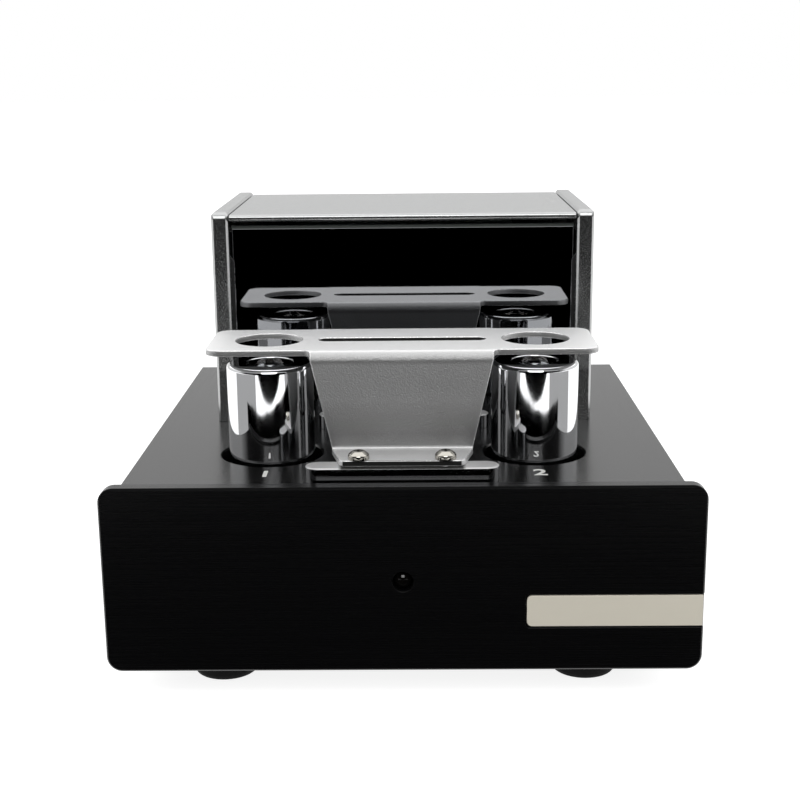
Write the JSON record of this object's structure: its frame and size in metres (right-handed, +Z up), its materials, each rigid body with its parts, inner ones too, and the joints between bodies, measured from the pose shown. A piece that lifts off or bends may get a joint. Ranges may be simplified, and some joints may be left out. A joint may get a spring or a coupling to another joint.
{
  "type": "phono preamp",
  "caption": "Low black tube phono preamp with a thick front panel, shielded tubes under a bent guard, and a windowed transformer cover.",
  "frame": {"origin": "on the floor under the middle of the overall width and depth", "axes": "+X to the right seen from the front, +Y to the rear, +Z up"},
  "size_m": [0.155, 0.1612, 0.12],
  "materials": {
    "panel_anodised": "fine brushed black anodised",
    "deck_anodised": "brushed black anodised",
    "black_steel": "black powder coat",
    "silver_paint": "fine textured silver lacquer",
    "satin_aluminium": "satin anodised",
    "chromed_steel": "polished",
    "nameplate_metal": "satin champagne",
    "bright_screw": "nickel plated",
    "black_rubber": "moulded",
    "black_acrylic": "polished",
    "led_lens": "clear tinted, unlit",
    "black_plastic": "moulded",
    "core_steel": "laminated, varnished",
    "winding_tape": "polyester tape",
    "strap_steel": "zinc plated",
    "board_laminate": "solder mask over glass fibre",
    "brass_hex": "nickelled brass",
    "capacitor_sleeve": "shrink sleeve",
    "film_resin": "dipped resin",
    "resistor_lacquer": "lacquered",
    "heatsink": "black anodised",
    "gold_plate": "gold plated",
    "jack_insulation": "moulded",
    "nickel_plate": "nickel plated",
    "socket_ceramic": "glazed ceramic",
    "tube_glass": "clear",
    "tube_metal": "grey carbonised nickel and mica",
    "fuse_glass": "clear with nickel caps"
  },
  "bodies": {
    "root": {"front_panel": "panel_anodised", "nameplate": "nameplate_metal", "power_led": "led_lens", "led_holder": "black_plastic", "chassis_tray": "black_steel", "deck_plate": "deck_anodised", "rear_panel": "black_steel", "rubber_feet": "black_rubber", "foot_screws": "bright_screw", "deck_screws": "bright_screw", "rear_panel_screws": "bright_screw", "front_panel_screws": "bright_screw", "tube_guard": "silver_paint", "front_spacer_bar": "satin_aluminium", "rear_spacer_bar": "satin_aluminium", "guard_screws": "bright_screw", "cover_left_side": "satin_aluminium", "cover_right_side": "satin_aluminium", "cover_sheet": "satin_aluminium", "cover_window": "black_acrylic", "window_brackets": "black_steel", "cover_rails": "black_steel", "cover_screws": "bright_screw", "transformer_core": "core_steel", "transformer_bobbin": "black_plastic", "transformer_winding": "winding_tape", "transformer_strap": "strap_steel", "transformer_screws": "bright_screw", "main_board": "board_laminate", "board_standoffs": "brass_hex", "board_screws": "bright_screw", "filter_capacitors": "capacitor_sleeve", "film_capacitors": "film_resin", "resistors": "resistor_lacquer", "regulator": "heatsink", "jack_shells": "gold_plate", "jack_insulators": "jack_insulation", "jack_contacts": "gold_plate", "jack_nuts": "nickel_plate", "ground_stud": "nickel_plate", "inlet_body": "black_plastic", "inlet_blades": "nickel_plate", "inlet_screws": "bright_screw", "switch_frame": "black_plastic", "switch_terminals": "nickel_plate", "left_tube_socket": "socket_ceramic", "left_tube_base": "tube_glass", "left_tube_glass": "tube_glass", "left_tube_elements": "tube_metal", "left_tube_shield": "chromed_steel", "right_tube_socket": "socket_ceramic", "right_tube_base": "tube_glass", "right_tube_glass": "tube_glass", "right_tube_elements": "tube_metal", "right_tube_shield": "chromed_steel"},
    "rocker": {"power_rocker": "black_plastic"},
    "fuse_carrier": {"fuse_drawer": "black_plastic", "fuse": "fuse_glass"},
    "post_washer": {"ground_washer": "nickel_plate"},
    "post_knob": {"ground_knob": "nickel_plate"}
  },
  "joints": [
    {"name": "rocker_tilt", "type": "hinge", "parent": "root", "child": "rocker", "pos_m": [0.001, 0.0678, 0.032], "axis": [1, 0, 0], "range_deg": [-18, 0]},
    {"name": "drawer_slide", "type": "slide", "parent": "root", "child": "fuse_carrier", "axis": [0, 1, 0], "range_m": [0, 0.014]},
    {"name": "washer_slide", "type": "slide", "parent": "root", "child": "post_washer", "axis": [0, 1, 0], "range_m": [0, 0.0035]},
    {"name": "knob_turn", "type": "hinge", "parent": "post_washer", "child": "post_knob", "pos_m": [0.057, 0.0754, 0.032], "axis": [0, 1, 0], "range_deg": [0, 1800]}
  ],
  "couplings": [
    {"joint": "knob_turn", "follows": "washer_slide", "rad_per_m": 8976}
  ]
}
